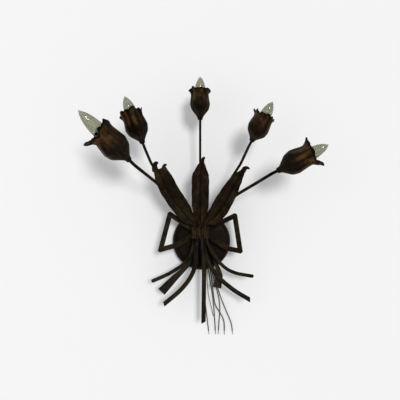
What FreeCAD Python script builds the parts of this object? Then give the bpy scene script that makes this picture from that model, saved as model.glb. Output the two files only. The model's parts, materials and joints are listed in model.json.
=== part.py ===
import FreeCAD, Part
import math
import os
from FreeCAD import Vector

# Wall sconce shaped as a bound bunch of five tulips, in hand-cut iron sheet and tube.
# Millimetres. +X right, -Y out of the wall, +Z up. The wall is the plane y = 0, and the
# origin is midway between the two slots of the mounting bar, on the wall.

# --- whole size: the tables of points below are drawn for the second three, and are
# stretched about the middle of the binding band to the first three -------------------
overall_width = 460.0
overall_depth = 214.0
overall_height = 515.0
drawn_width = 460.0
drawn_depth = 214.0
drawn_height = 515.0

# --- mounting bar, hollow rod and round cover plate ---------------------------------
canopy_diameter = 127.0
canopy_depth = 22.0
canopy_wall = 1.2
canopy_edge_radius = 13.0
shoulder_steps = 4           # straight steps in the spun shoulder
canopy_standoff = 3.5        # the cover's rim stands off the wall, so the leads slip out
bar_end_margin = 9.5         # bar left beyond the middle of each slot
bar_width = 15.0
bar_thickness = 2.0
bar_rise = 13.0              # the middle of the bar stands this far off the wall
bar_middle_length = 46.0
bar_foot_length = 21.0
slot_spacing = 83.0
slot_length = 10.0
slot_width = 4.6
rod_diameter = 10.0
rod_wall = 1.25
rod_end = 10.0               # distance of the rod's open end from the wall
nut_flats = 15.0
nut_thickness = 2.6
ground_screw_offset = 15.0
ground_screw_diameter = 3.8
ground_head_diameter = 7.5
ground_head_height = 2.2
thread_clearance = 0.05
hole_clearance = 0.3

# --- block, binding band and what it holds ------------------------------------------
bundle_x = -3.0              # the bunch hangs a little to the left of the cover's centre
band_y = -52.0
band_low = 9.5
band_height = 27.0
band_width = 38.0
band_depth = 30.0
band_corner = 9.0
band_wall = 1.5
band_grooves = 5
band_groove_pitch = 4.6
band_groove_radius = 1.5
root_margin = 6.0            # height above and below the band where the roots stay put
block_width = 24.0
block_low = -14.0
block_rod_seat = 3.5         # metal left between the rod's end and the block's face
wire_channel_width = 11.0
wire_channel_depth = 6.0

# --- flowers: stem tube, cup, socket and bulb ---------------------------------------
stem_diameter = {"outer_left": 6.4, "inner_left": 5.6, "centre": 5.0,
                 "inner_right": 5.6, "outer_right": 6.4}
stem_wall = 0.9
cup_wall = 1.2
cup_ferrule_wall = 1.3
petal_flare = 0.56           # lip radius as a share of the cup's diameter
petal_gap_share = 0.34       # half of each gap at the rim, as a share of the pitch
petal_neck = 0.425           # neck radius as a share of the cup's diameter
cup_steps = 9                # straight runs in the hammered wall of a cup

# Foot of each cup, the way the flower points, and the cup's own sizes. "seat" is how far
# above the cup's foot the bulb's lower end sits; the outer left bulb is a larger one.
flowers = {
    "outer_left": {"foot": (-139, -155, 167), "aim": (-85, -57, 86), "diameter": 52.0,
                   "length": 82.0, "seat": 38.0, "bulb_length": 96.0, "bulb_diameter": 28.5,
                   "petals": 4, "notch": 26.0, "turn": 20},
    "inner_left": {"foot": (-118, -118, 205), "aim": (-30, -42, 85), "diameter": 43.0,
                   "length": 70.0, "seat": 33.0, "bulb_length": 66.0, "bulb_diameter": 24.0,
                   "petals": 5, "notch": 13.0, "turn": 10},
    "centre": {"foot": (-3, -78, 258), "aim": (0, -22, 84), "diameter": 37.5,
               "length": 64.0, "seat": 21.0, "bulb_length": 66.0, "bulb_diameter": 24.0,
               "petals": 5, "notch": 10.0, "turn": 18},
    "inner_right": {"foot": (101, -108, 210), "aim": (37, -38, 72), "diameter": 41.0,
                    "length": 60.0, "seat": 23.5, "bulb_length": 66.0, "bulb_diameter": 24.0,
                    "petals": 5, "notch": 13.0, "turn": 54},
    "outer_right": {"foot": (148.5, -140, 148), "aim": (87.5, -46, 45.5), "diameter": 45.0,
                    "length": 76.0, "seat": 43.0, "bulb_length": 66.0, "bulb_diameter": 24.0,
                    "petals": 4, "notch": 19.0, "turn": 40},
}
# Where each stem stands in the band, and the bends between the band and its cup.
stem_bend_radius = 60.0
stem_neck = 14.0             # straight length of stem below the cup's foot
stems = {
    "outer_left": {"root": (-9, 6), "bends": [(-14, -49, 52), (-42, -62, 78), (-92, -101, 126)]},
    "inner_left": {"root": (-6, -2), "bends": [(-12, -56, 52), (-52, -74, 100), (-102, -98, 163)]},
    "centre": {"root": (0, 6), "bends": [(-3, -48, 75), (-3, -62, 165)]},
    "inner_right": {"root": (6, -2), "bends": [(7, -56, 52), (38, -70, 98), (80, -91, 165)]},
    "outer_right": {"root": (9, 6), "bends": [(10, -49, 48), (34, -61, 70), (73, -86, 102),
                                             (107, -112, 123)]},
}

socket_diameter = 16.0
socket_floor = 3.0
socket_shell_wall = 0.5
socket_shell_bore = 12.7
socket_skin = 0.9
bulb_neck_diameter = 12.6
glass_wall = 0.8
glass_steps = 10             # straight runs in the bulb's outline
cap_diameter = 11.9
cap_length = 17.0
contact_height = 1.6
contact_diameter = 5.0
filament_stem_diameter = 4.6
filament_stem_length = 17.0
filament_wire_diameter = 0.9
filament_height = 17.0
filament_spread = 7.0
filament_shoulder_low = 5.0
filament_shoulder_top = 3.0

# --- leaves: stations along the crease, each with its half width and fold -----------
leaf_thickness = 1.4
leaves = {
    "centre": [((-3, -61, 24), 4.5, 1.5), ((-3, -62, 40), 5.5, 2.0),
               ((-3, -66, 55), 11, 4), ((-3, -73, 83), 17.8, 6), ((-2.5, -81, 118), 18, 6),
               ((-2, -87, 145), 17.5, 5), ((0, -91, 161), 9.5, 3), ((2.5, -94, 175), 1.5, 1)],
    "left": [((-12.5, -60, 24), 3.8, 1.5), ((-13.8, -61, 39), 4.4, 2.0),
             ((-28, -68, 54), 13, 4), ((-45, -82, 79), 18, 6), ((-61, -96, 104), 18.5, 6),
             ((-75, -108, 131), 18, 5), ((-82, -113, 149), 14.5, 3), ((-87, -116, 163), 9.5, 2)],
    "right": [((6.5, -60, 24), 3.8, 1.5), ((7.8, -61, 39), 4.4, 2.0),
              ((25, -68, 53), 14, 4), ((40, -79, 77), 18.5, 6), ((54, -93, 103), 17.5, 6),
              ((68, -105, 128), 14.5, 5), ((79, -112, 146), 9, 3), ((90, -116, 157), 2, 1)],
}
# The left leaf's end is torn to two points, round a notch given as (x, z) corners.
leaf_tear = [(-95, 175), (-89.5, 166), (-84, 153), (-77, 161), (-72, 175)]

# --- folded straps: distance out from the band and height ---------------------------
strap_width = 10.5
strap_thickness = 2.0
strap_clip = 5.0             # how much of each outer corner is cut off, along each edge
strap_y = -47.0
strap_turn = 13.0            # degrees that each strap swings out of the wall's plane
strap_left = [(-10, 23.0), (46.5, 60.5), (66.5, -14.0), (34, -6.0), (-10, 17.5)]
strap_right = [(-10, 25.0), (56.0, 57.5), (67.5, -17.0), (42, -12.5), (-10, 18.5)]

# --- cut stem ends that fan out below the band --------------------------------------
tail_wall = 1.3
tube_tails = {
    "tail_left_upper": (8.0, [(-15.3, -46, 23), (-15.3, -46, 4), (-21, -46.5, -24),
                              (-37, -48, -47), (-71, -51, -68), (-103, -56, -81)]),
    "tail_left_lower": (9.5, [(-9.5, -59, 23), (-9.5, -59, 2), (-11, -57, -28),
                              (-15, -55, -56), (-26, -54, -79), (-46, -55, -103),
                              (-82, -59, -132)]),
    "tail_middle": (9.5, [(0.8, -59.5, 23), (0.8, -59.5, 0), (5.5, -56, -52),
                          (4, -51, -173)]),
    "tail_right_upper": (7.6, [(10.2, -57.5, 23), (10.2, -57.5, 4), (21, -55.5, -20),
                               (38, -53, -43), (55, -52, -58), (74, -53, -66),
                               (107, -57, -71)]),
    "tail_right_lower": (9.5, [(2.4, -47, 23), (2.4, -47, 2), (8, -47.5, -25),
                               (17, -48, -50), (31, -49, -68), (45, -51, -83),
                               (72, -55, -104), (105, -61, -122)]),
}
rod_tails = ["tail_left_upper", "tail_right_upper"]
tail_end_cut = {"tail_left_lower": -20.0, "tail_middle": 28.0, "tail_right_lower": 30.0}
blade_thickness = 1.6
blade_fold = 0.3
blade_tails = {
    "blade_left": [((-7.4, -43, 23), 3.4), ((-8.0, -41.5, 2), 3.4), ((-17, -39.5, -24), 3.6),
                   ((-31, -40, -52), 4.2), ((-57, -43, -76), 7.0), ((-86, -49, -106), 9.5)],
    "blade_right": [((9.6, -43, 23), 2.4), ((10.0, -43, 8), 2.6), ((16, -40.5, -10), 3.4),
                    ((25, -39.5, -28), 3.6),
                    ((34, -39.5, -53), 4.6), ((38.5, -40.5, -72), 7.5), ((33, -43, -98), 9.5)],
}

# --- loose supply leads: points chosen by hand along each one -----------------------
lead_diameter = 2.0
ground_lead_diameter = 1.2
tip_length = 8.0
tip_diameter = 1.0
leads = {
    "lead_a": [(-2.0, -10, -1.2), (-2.0, -7.4, -1.3), (-1.8, -5.4, -3.4), (-1.0, -5.0, -8.5),
               (1.5, -4.6, -18), (4.5, -3.2, -34), (7.6, -1.9, -52), (8.6, -1.9, -68),
               (8.4, -3.0, -92), (7.6, -3.6, -120), (9.6, -3.4, -150), (13.0, -3.6, -177),
               (16.0, -3.6, -201)],
    "lead_ground": [(0, -10, -2.3), (0, -7.3, -2.4), (0.4, -5.2, -4.6), (1.6, -4.8, -9.5),
                    (4.4, -4.4, -19), (8.2, -3.2, -35), (11.0, -1.8, -52), (12.2, -1.9, -69),
                    (13.0, -3.0, -93), (15.4, -4.6, -121), (20.0, -5.6, -140),
                    (24.4, -6.2, -156), (26.6, -6.4, -168)],
    "lead_b": [(2.0, -10, -1.2), (2.0, -7.4, -1.3), (2.5, -5.4, -3.5), (4.2, -5.0, -8.8),
               (6.8, -4.6, -18), (10.8, -3.3, -34), (14.4, -1.8, -52), (16.0, -1.9, -69),
               (19.5, -3.0, -92), (24.5, -3.4, -120), (27.6, -3.2, -147), (29.4, -3.0, -174),
               (31.0, -3.0, -201)],
    "lead_c": [(-2.0, -10, 1.2), (-2.0, -5.8, 1.1), (-1.8, -2.9, -2.0), (1.0, -2.2, -9.5),
               (8.4, -2.0, -21), (14.6, -1.9, -37), (17.6, -1.8, -52), (20.0, -2.2, -69),
               (23.5, -4.4, -92), (26.5, -6.4, -118), (30.0, -7.0, -143), (39.0, -6.8, -156),
               (49.0, -6.2, -173), (51.4, -5.6, -188), (51.2, -5.4, -201)],
    "lead_d": [(0, -10, 2.3), (0, -5.6, 2.2), (0.8, -2.8, -1.2), (4.6, -2.2, -8.6),
               (11.6, -2.0, -20), (17.4, -1.9, -36), (20.9, -1.8, -52), (23.6, -2.2, -69),
               (28.2, -2.6, -88), (33.5, -2.6, -107), (38.6, -2.4, -126), (41.4, -2.2, -146),
               (40.4, -2.2, -166), (38.8, -2.4, -184), (38.0, -2.6, -201)],
    "lead_e": [(2.0, -10, 1.2), (2.3, -5.8, 1.2), (5.0, -2.9, 0.2), (11.0, -2.2, -5.5),
               (18.0, -2.0, -18), (22.0, -1.9, -35), (24.4, -1.8, -52), (27.0, -2.2, -69),
               (31.6, -2.8, -88), (36.8, -3.2, -107), (43.0, -3.4, -127), (53.0, -3.4, -152),
               (63.0, -3.4, -175), (67.6, -3.6, -188), (69.0, -3.8, -201)],
}

# --- sizes worked out from the ones above --------------------------------------------
UP = Vector(0, 0, 1)
OUT = Vector(0, -1, 0)
stretch = (overall_width / drawn_width, overall_depth / drawn_depth,
           overall_height / drawn_height)
canopy_radius = canopy_diameter / 2
bar_length = slot_spacing + 2 * bar_end_margin
canopy_front = -(canopy_standoff + canopy_depth)
rod_radius = rod_diameter / 2
rod_bore_radius = rod_radius - rod_wall
band_back = band_y + band_depth / 2
band_middle = band_low + band_height / 2
block_front = band_back
block_top = band_low + band_height
rod_front = block_front + block_rod_seat
socket_radius = socket_diameter / 2
socket_length = socket_floor + cap_length
socket_shell_length = cap_length - socket_skin - 1.0
cap_radius = cap_diameter / 2
slot_radius = slot_width / 2


# --- helpers -------------------------------------------------------------------------
def export(name, shape):
    shape.exportStep("parts/" + name + ".step")


def stretched(point):
    """A drawn point moved with the whole size, unless it lies within the band's height."""
    middle = Vector(bundle_x, band_y, band_middle)
    drawn = Vector(point)
    if band_low - root_margin <= drawn.z <= band_low + band_height + root_margin:
        return drawn
    offset = drawn - middle
    return middle + Vector(*[part * share for part, share in zip(offset, stretch)])


def place(shape, origin, direction, turn=0.0):
    """Stands a shape made along +Z at origin, pointing along direction."""
    aim = FreeCAD.Rotation(UP, Vector(direction))
    about_own_axis = FreeCAD.Rotation(UP, turn)
    shape.Placement = FreeCAD.Placement(Vector(origin), aim.multiply(about_own_axis))
    return shape


def revolved(points):
    """A solid of revolution about Z from a closed outline of (radius, height) points."""
    outline = [Vector(r, 0, z) for r, z in points]
    face = Part.Face(Part.makePolygon(outline + [outline[0]]))
    return face.revolve(Vector(), UP, 360)


def ring(outer, inner, height):
    return Part.makeCylinder(outer, height).cut(Part.makeCylinder(inner, height))


def hexagon(flats, height):
    corner = flats / math.sqrt(3)
    corners = [Vector(corner * math.cos(math.radians(60 * i)),
                      corner * math.sin(math.radians(60 * i)), 0) for i in range(7)]
    return Part.Face(Part.makePolygon(corners)).extrude(Vector(0, 0, height))


def bent_path(points, largest=None):
    """Straight runs joined by tangent arcs, and the smallest radius used."""
    points = [Vector(p) for p in points]
    edges = []
    start = points[0]
    smallest = None
    for before, corner, after in zip(points, points[1:], points[2:]):
        back = (before - corner)
        ahead = (after - corner)
        half_turn = (math.pi - back.getAngle(ahead)) / 2
        tangent = 0.45 * min(back.Length, ahead.Length)
        radius = tangent / math.tan(half_turn)
        if largest and radius > largest:
            radius = largest
            tangent = radius * math.tan(half_turn)
        smallest = radius if smallest is None else min(smallest, radius)
        back.normalize()
        ahead.normalize()
        middle = back + ahead
        middle.normalize()
        arc_start = corner + back * tangent
        arc_end = corner + ahead * tangent
        arc_middle = corner + middle * (radius / math.cos(half_turn) - radius)
        edges.append(Part.LineSegment(start, arc_start).toShape())
        edges.append(Part.Arc(arc_start, arc_middle, arc_end).toShape())
        start = arc_end
    edges.append(Part.LineSegment(start, points[-1]).toShape())
    return Part.Wire(edges), smallest


def bent_wire(points, radius):
    """A thin round wire of straight runs with mitred corners."""
    path = Part.makePolygon([Vector(p) for p in points])
    circle = Part.Wire(Part.makeCircle(radius, Vector(points[0]),
                                       Vector(points[1]) - Vector(points[0])))
    return path.makePipeShell([circle], True, False, 1)


def tube(points, radius, largest=None):
    """A round bar along the points."""
    path, smallest = bent_path(points, largest)
    start = Vector(points[0])
    circle = Part.Wire(Part.makeCircle(radius, start, Vector(points[1]) - start))
    return path.makePipeShell([circle], True, False)


def prism(outline, depth):
    """A straight-sided solid: an outline in the XZ plane, pushed out along -Y."""
    corners = [Vector(x, 0, z) for x, z in outline]
    face = Part.Face(Part.makePolygon(corners + [corners[0]]))
    return face.extrude(Vector(0, -depth, 0))


def rounded_block(width, depth, height, corner):
    """A block standing on z = 0, centred on Z, with its upright edges rounded."""
    block = Part.makeBox(width, depth, height, Vector(-width / 2, -depth / 2, 0))
    upright = [e for e in block.Edges if abs(e.tangentAt(e.FirstParameter).z) > 0.99]
    return block.makeFillet(corner, upright)


# --- what holds the bunch to the wall -------------------------------------------------
def canopy():
    """A spun dish: flat front, shoulder turned over in short steps, open back."""
    hole = rod_radius + hole_clearance
    outside = dish_line(canopy_radius, canopy_depth, canopy_edge_radius)
    inside = dish_line(canopy_radius - canopy_wall, canopy_depth - canopy_wall,
                       canopy_edge_radius - canopy_wall)
    front = [(hole, canopy_depth), (hole, canopy_depth - canopy_wall)]
    return place(revolved(outside + front + inside[::-1]), (0, -canopy_standoff, 0), OUT)


def dish_line(radius, depth, shoulder):
    """A dish's outline from its rim over the shoulder, as (radius, height) points."""
    line = [(radius, 0)]
    for i in range(shoulder_steps + 1):
        turn = math.pi / 2 * i / shoulder_steps
        line.append((radius - shoulder + shoulder * math.cos(turn),
                     depth - shoulder + shoulder * math.sin(turn)))
    return line


def mounting_bar():
    """A strip with two slotted feet on the wall and a raised, threaded middle."""
    half = bar_length / 2
    foot = half - bar_foot_length
    middle = bar_middle_length / 2
    under = bar_rise - bar_thickness
    outline = [(-half, 0), (-foot, 0), (-middle, under), (middle, under), (foot, 0),
               (half, 0), (half, bar_thickness), (foot - 1, bar_thickness),
               (middle + 1, bar_rise), (-middle - 1, bar_rise), (1 - foot, bar_thickness),
               (-half, bar_thickness)]
    corners = [Vector(x, -rise, -bar_width / 2) for x, rise in outline]
    face = Part.Face(Part.makePolygon(corners + [corners[0]]))
    bar = face.extrude(Vector(0, 0, bar_width))
    for side in (-1, 1):
        bar = bar.cut(slot(side * slot_spacing / 2))
    centre_hole = Part.makeCylinder(rod_radius + thread_clearance, bar_rise * 2)
    screw_hole = Part.makeCylinder(ground_screw_diameter / 2 + thread_clearance, bar_rise * 2)
    bar = bar.cut(place(centre_hole, (0, 0, 0), OUT))
    return bar.cut(place(screw_hole, (-ground_screw_offset, 0, 0), OUT))


def slot(x):
    """The cutter of one slotted screw hole, running along the bar."""
    straight = slot_length - slot_width
    cutter = Part.makeBox(straight, slot_width, bar_rise, Vector(-straight / 2, -slot_width / 2, 0))
    for end in (-1, 1):
        rounded = Part.makeCylinder(slot_radius, bar_rise, Vector(end * straight / 2, 0, 0))
        cutter = cutter.fuse(rounded)
    return place(cutter, (x, 0, 0), OUT)


def threaded_rod():
    rod = ring(rod_radius, rod_bore_radius, -rod_front - rod_end)
    return place(rod, (0, -rod_end, 0), OUT)


def rod_nuts():
    """One nut inside the cover and one behind the bar, both on the rod."""
    nuts = []
    behind_bar = bar_rise - bar_thickness - nut_thickness
    inside_cover = -canopy_front - canopy_wall - nut_thickness
    for height in (behind_bar, inside_cover):
        nut = hexagon(nut_flats, nut_thickness)
        nut = nut.cut(Part.makeCylinder(rod_radius + thread_clearance, nut_thickness))
        nuts.append(place(nut, (0, -height, 0), OUT))
    return Part.makeCompound(nuts)


def ground_screw():
    shank = Part.makeCylinder(ground_screw_diameter / 2, bar_thickness + ground_head_height)
    head = hexagon(ground_head_diameter, ground_head_height)
    head.translate(Vector(0, 0, bar_thickness))
    screw = shank.fuse(head).removeSplitter()
    return place(screw, (-ground_screw_offset, bar_thickness - bar_rise, 0), OUT)


def wire_sleeve():
    """The leads' sleeve, which fills the rod's bore."""
    length = -rod_front - rod_end
    sleeve = Part.makeCylinder(rod_bore_radius - thread_clearance, length)
    return place(sleeve, (0, -rod_end, 0), OUT)


def wire_block():
    """The block between cover and bunch, with a channel that takes the wires to the rod."""
    depth = canopy_front - block_front
    height = block_top - block_low
    block = Part.makeBox(block_width, depth, height,
                         Vector(bundle_x - block_width / 2, block_front, block_low))
    rod_hole = Part.makeCylinder(rod_radius + thread_clearance, -block_front - block_rod_seat)
    rod_hole = place(rod_hole, (0, 0, 0), OUT)
    wire_hole = place(Part.makeCylinder(rod_bore_radius, -block_front), (0, 0, 0), OUT)
    channel = Part.makeBox(wire_channel_width, wire_channel_depth, block_top,
                           Vector(bundle_x - wire_channel_width / 2, block_front, 0))
    return block.cut(rod_hole).cut(wire_hole).cut(channel)


def band():
    """The sheet collar that binds the bunch."""
    outer = rounded_block(band_width, band_depth, band_height, band_corner)
    inner = rounded_block(band_width - 2 * band_wall, band_depth - 2 * band_wall,
                          band_height, band_corner - band_wall)
    collar = outer.cut(inner)
    for i in range(band_grooves):
        x = (i - (band_grooves - 1) / 2) * band_groove_pitch
        groove = Part.makeCylinder(band_groove_radius, band_height,
                                   Vector(x, -band_depth / 2 - band_groove_radius / 2, 0))
        collar = collar.cut(groove)
    collar.translate(Vector(bundle_x, band_y, band_low))
    return collar


# --- flowers ---------------------------------------------------------------------------
def flower_frame(flower):
    foot = stretched(flower["foot"])
    aim = Vector(flower["aim"])
    aim.normalize()
    return foot, aim


def socket_foot(flower):
    """Height above the cup's foot of the socket's lower face."""
    return flower["seat"] - socket_floor


def stem(name):
    """A tube from the middle of the band, through the cup's foot, to the socket."""
    foot, aim = flower_frame(flowers[name])
    root_x, root_y = stems[name]["root"]
    root = Vector(bundle_x + root_x, band_y + root_y, band_middle)
    collar_top = Vector(root.x, root.y, block_top)
    bends = [stretched(p) for p in stems[name]["bends"]]
    points = [root, collar_top] + bends + [foot - aim * stem_neck]
    points.append(foot + aim * socket_foot(flowers[name]))
    radius = stem_diameter[name] / 2
    outside = tube(points, radius, stem_bend_radius)
    return outside.cut(tube(points, radius - stem_wall, stem_bend_radius))


def smooth_line(points, steps):
    """Points spaced along a smooth curve that passes through the given ones."""
    curve = Part.BSplineCurve()
    curve.interpolate(points)
    return curve.discretize(Number=steps + 1)


def cup_wall_line(flower, hole, inset):
    """The tulip's wall as a line of short runs, moved in by inset."""
    half = flower["diameter"] / 2
    length = flower["length"]
    shape = [(hole + cup_ferrule_wall, 0), (0.22 * half + 2, 0.11 * length),
             (0.62 * half, 0.21 * length), (0.90 * half, 0.33 * length),
             (half, 0.49 * length), (2 * petal_neck * half, 0.82 * length),
             (2 * petal_flare * half, length)]
    return smooth_line([Vector(r - inset, 0, z) for r, z in shape], cup_steps)


def cup(name):
    """A tulip of thin sheet: a shell of revolution whose rim is cut into petals."""
    flower = flowers[name]
    hole = stem_diameter[name] / 2
    outer = cup_wall_line(flower, hole, 0)
    inner = cup_wall_line(flower, hole, cup_wall)
    outline = outer + inner[::-1] + [Vector(hole, 0, 0)]
    shell = revolved([(p.x, p.z) for p in outline])
    shell = shell.cut(Part.makeCylinder(hole, flower["length"] / 4))
    shell = shell.cut(petal_gaps(flower))
    return place(shell, stretched(flower["foot"]), flower["aim"], flower["turn"])


def petal_gaps(flower):
    """Wedges between the petals, each cut from the rim down."""
    top = flower["length"] + 1
    low = flower["length"] - flower["notch"]
    reach = flower["diameter"]
    pitch = 360.0 / flower["petals"]
    half_gap = math.tan(math.radians(pitch * petal_gap_share)) * petal_flare * flower["diameter"]
    wedges = []
    for i in range(flower["petals"]):
        wedge = Part.makePolygon([Vector(0, -half_gap, top), Vector(0, 0, low),
                                  Vector(0, half_gap, top), Vector(0, -half_gap, top)])
        wedge = Part.Face(wedge).extrude(Vector(reach, 0, 0))
        wedge.rotate(Vector(), UP, pitch * i)
        wedges.append(wedge)
    return wedges


def socket(name):
    """The insulator: a cylinder with a floor, bored for the metal screw shell."""
    flower = flowers[name]
    foot, aim = flower_frame(flower)
    bore = socket_shell_bore / 2 + socket_shell_wall
    body = Part.makeCylinder(socket_radius, socket_length)
    pocket = Part.makeCylinder(bore, socket_length, Vector(0, 0, socket_floor - contact_height))
    return place(body.cut(pocket), foot + aim * socket_foot(flower), aim)


def socket_shell(name):
    flower = flowers[name]
    foot, aim = flower_frame(flower)
    bore = socket_shell_bore / 2
    shell = ring(bore + socket_shell_wall, bore, socket_shell_length)
    return place(shell, foot + aim * (flower["seat"] + socket_skin), aim)


def socket_contact(name):
    """The spring tab under the bulb's tip."""
    flower = flowers[name]
    foot, aim = flower_frame(flower)
    tab = Part.makeCylinder(contact_diameter / 2, contact_height / 2)
    return place(tab, foot + aim * (flower["seat"] - contact_height), aim)


def bulb_glass(name):
    """A thin clear torpedo with a drawn tip, open where the cap closes it."""
    flower = flowers[name]
    foot, aim = flower_frame(flower)
    neck = bulb_neck_diameter / 2
    wide = flower["bulb_diameter"] / 2
    height = flower["bulb_length"] - cap_length
    shape = [(neck, 0), (neck + 1.2, 0.10 * height), (0.93 * wide, 0.27 * height),
             (wide, 0.42 * height), (0.82 * wide, 0.65 * height),
             (0.36 * wide, 0.90 * height)]
    outside = [Vector(r, 0, z) for r, z in shape] + [Vector(0, 0, height)]
    inside = [Vector(r - glass_wall, 0, z) for r, z in shape]
    inside.append(Vector(0, 0, height - 3 * glass_wall))
    outline = smooth_line(outside, glass_steps) + smooth_line(inside, glass_steps)[::-1]
    glass = revolved([(p.x, p.z) for p in outline])
    return place(glass, foot + aim * (flower["seat"] + cap_length), aim)


def bulb_cap(name):
    """The metal screw cap with its rounded contact."""
    flower = flowers[name]
    foot, aim = flower_frame(flower)
    tip = contact_height / 2
    cap = revolved([(0, 0), (contact_diameter / 2 - 0.7, 0), (contact_diameter / 2, tip),
                    (cap_radius - 1.4, tip + 0.6), (cap_radius, tip + 2.6),
                    (cap_radius, cap_length), (0, cap_length)])
    return place(cap, foot + aim * flower["seat"], aim)


def bulb_filament(name):
    """The glass stem, its two support wires and the filament between them."""
    flower = flowers[name]
    foot, aim = flower_frame(flower)
    radius = filament_stem_diameter / 2
    parts = Part.makeCylinder(radius, filament_stem_length)
    wire = filament_wire_diameter / 2
    half = filament_spread / 2
    low = filament_stem_length - 1
    top = filament_stem_length + filament_height
    widest = low + filament_shoulder_low
    narrowing = top - filament_shoulder_top
    arch = [(-radius / 2, 0, low), (-half, 0, widest), (-half, 0, narrowing), (0, 0, top),
            (half, 0, narrowing), (half, 0, widest), (radius / 2, 0, low)]
    parts = parts.fuse(bent_wire(arch, wire)).removeSplitter()
    return place(parts, foot + aim * (flower["seat"] + cap_length), aim)


# --- leaves, straps and tails -----------------------------------------------------------
def folded_section(centre, half_width, fold, along, thickness):
    """One cross-section of a creased leaf: a shallow trough, its edges standing forward."""
    front = OUT - along * OUT.dot(along)
    front.normalize()
    side = front.cross(along)
    side.normalize()
    crease = centre
    left = centre - side * half_width + front * fold
    right = centre + side * half_width + front * fold
    back = front * -thickness
    ring_points = [left, crease, right, right + back, crease + back, left + back]
    return Part.makePolygon(ring_points + [left])


def leaf(name):
    stations = leaves[name]
    centres = [stretched(centre) for centre, _, _ in stations]
    sections = []
    for i, (_, half_width, fold) in enumerate(stations):
        along = centres[min(i + 1, len(centres) - 1)] - centres[max(i - 1, 0)]
        along.normalize()
        sections.append(folded_section(centres[i], half_width, fold, along, leaf_thickness))
    blade = Part.makeLoft(sections, True, True)
    if name == "left":
        tear = [stretched((x, band_y, z)) for x, z in leaf_tear]
        blade = blade.cut(prism([(p.x, p.z) for p in tear], 2 * canopy_diameter))
    return blade


def clipped(corner, before, after):
    """The two points that replace a strip's outer corner once its tip is cut off."""
    return [corner - before * strap_clip, corner + after * strap_clip]


def strip_outline(points, widths):
    """The outline of a folded flat strip along the points, its outer corners clipped."""
    points = [Vector(x, 0, z) for x, z in points]
    left, right = [], []
    for i, point in enumerate(points):
        before = point - points[i - 1] if i else points[1] - point
        after = points[i + 1] - point if i < len(points) - 1 else before
        before, after = Vector(before), Vector(after)
        before.normalize()
        after.normalize()
        across = Vector(-before.z - after.z, 0, before.x + after.x)
        across.normalize()
        square = Vector(-before.z, 0, before.x)
        reach = widths[i] / 2 / across.dot(square)
        turn = before.x * after.z - before.z * after.x
        for edge, side in ((left, 1), (right, -1)):
            corner = point + across * side * reach
            edge.extend(clipped(corner, before, after) if turn * side < 0 else [corner])
    outline = left + right[::-1]
    return [(p.x, p.z) for p in outline]


def strap(points, side):
    """A folded flat strip, from the band out to two corners and back to the band."""
    strip = prism(strip_outline(points, [strap_width] * len(points)), strap_thickness)
    if side < 0:
        strip = strip.mirror(Vector(), Vector(1, 0, 0))
    strip.rotate(Vector(), UP, -side * strap_turn)
    band_side = bundle_x + side * band_width / 2
    strip.translate(Vector(band_side, strap_y, 0))
    far = canopy_diameter
    inside = Part.makeBox(far, far, 2 * far, Vector(-far / 2, -far / 2, -far))
    inside.translate(Vector(band_side - side * far / 2, strap_y, 0))
    return strip.cut(inside)


def tube_tail(name):
    """A stem's cut end: a tube, or a rod with a rounded end."""
    diameter, drawn = tube_tails[name]
    points = [stretched(p) for p in drawn]
    radius = diameter / 2
    bar = tube(points, radius)
    end = Vector(points[-1])
    along = end - Vector(points[-2])
    along.normalize()
    if name in rod_tails:
        return bar.fuse(Part.makeSphere(radius, end)).removeSplitter()
    bar = bar.cut(tube(points, radius - tail_wall))
    side = OUT.cross(along)
    cutter = Part.makeBox(6 * radius, 6 * radius, 6 * radius,
                          Vector(-3 * radius, -3 * radius, -radius / 2))
    slanted = FreeCAD.Rotation(OUT, tail_end_cut[name]).multVec(along)
    return bar.cut(place(cutter, end, slanted))


def blade_tail(name):
    """A flat leaf end that widens to a slanting cut."""
    stations = blade_tails[name]
    centres = [stretched(centre) for centre, _ in stations]
    sections = []
    for i, (_, half_width) in enumerate(stations):
        along = centres[min(i + 1, len(centres) - 1)] - centres[max(i - 1, 0)]
        along.normalize()
        sections.append(folded_section(centres[i], half_width, blade_fold, along,
                                       blade_thickness))
    return Part.makeLoft(sections, True, True)


# --- leads -------------------------------------------------------------------------------
def lead(name):
    diameter = ground_lead_diameter if name == "lead_ground" else lead_diameter
    shape = tube(leads[name], diameter / 2)
    path, smallest = bent_path(leads[name])
    expected = math.pi * (diameter / 2) ** 2 * path.Length
    print(name, "length", round(path.Length, 1), "smallest radius", round(smallest, 2),
          "volume ratio", round(shape.Volume / expected, 4))
    return shape


def lead_tips():
    """The bare copper ends of the insulated leads."""
    tips = []
    for name, points in leads.items():
        if name != "lead_ground":
            end = Vector(points[-1])
            tip = Part.makeCylinder(tip_diameter / 2, tip_length)
            tips.append(place(tip, end, end - Vector(points[-2])))
    return Part.makeCompound(tips)


# --- every piece, one file each ------------------------------------------------------------
def main():
    os.makedirs("parts", exist_ok=True)
    export("canopy", canopy())
    export("mounting_bar", mounting_bar())
    export("threaded_rod", threaded_rod())
    export("rod_nuts", rod_nuts())
    export("ground_screw", ground_screw())
    export("wire_sleeve", wire_sleeve())
    export("wire_block", wire_block())
    export("band", band())
    for name in flowers:
        export("stem_" + name, stem(name))
        export("cup_" + name, cup(name))
        export("socket_" + name, socket(name))
        export("bulb_glass_" + name, bulb_glass(name))
        export("bulb_cap_" + name, bulb_cap(name))
        export("bulb_filament_" + name, bulb_filament(name))
    export("socket_shells", Part.makeCompound([socket_shell(name) for name in flowers]))
    export("socket_contacts", Part.makeCompound([socket_contact(name) for name in flowers]))
    for name in leaves:
        export("leaf_" + name, leaf(name))
    export("strap_left", strap(strap_left, -1))
    export("strap_right", strap(strap_right, 1))
    for name in tube_tails:
        export(name, tube_tail(name))
    for name in blade_tails:
        export(name, blade_tail(name))
    for name in leads:
        export(name, lead(name))
    export("lead_tips", lead_tips())


main()
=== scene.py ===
import json
import math
import random

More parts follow.
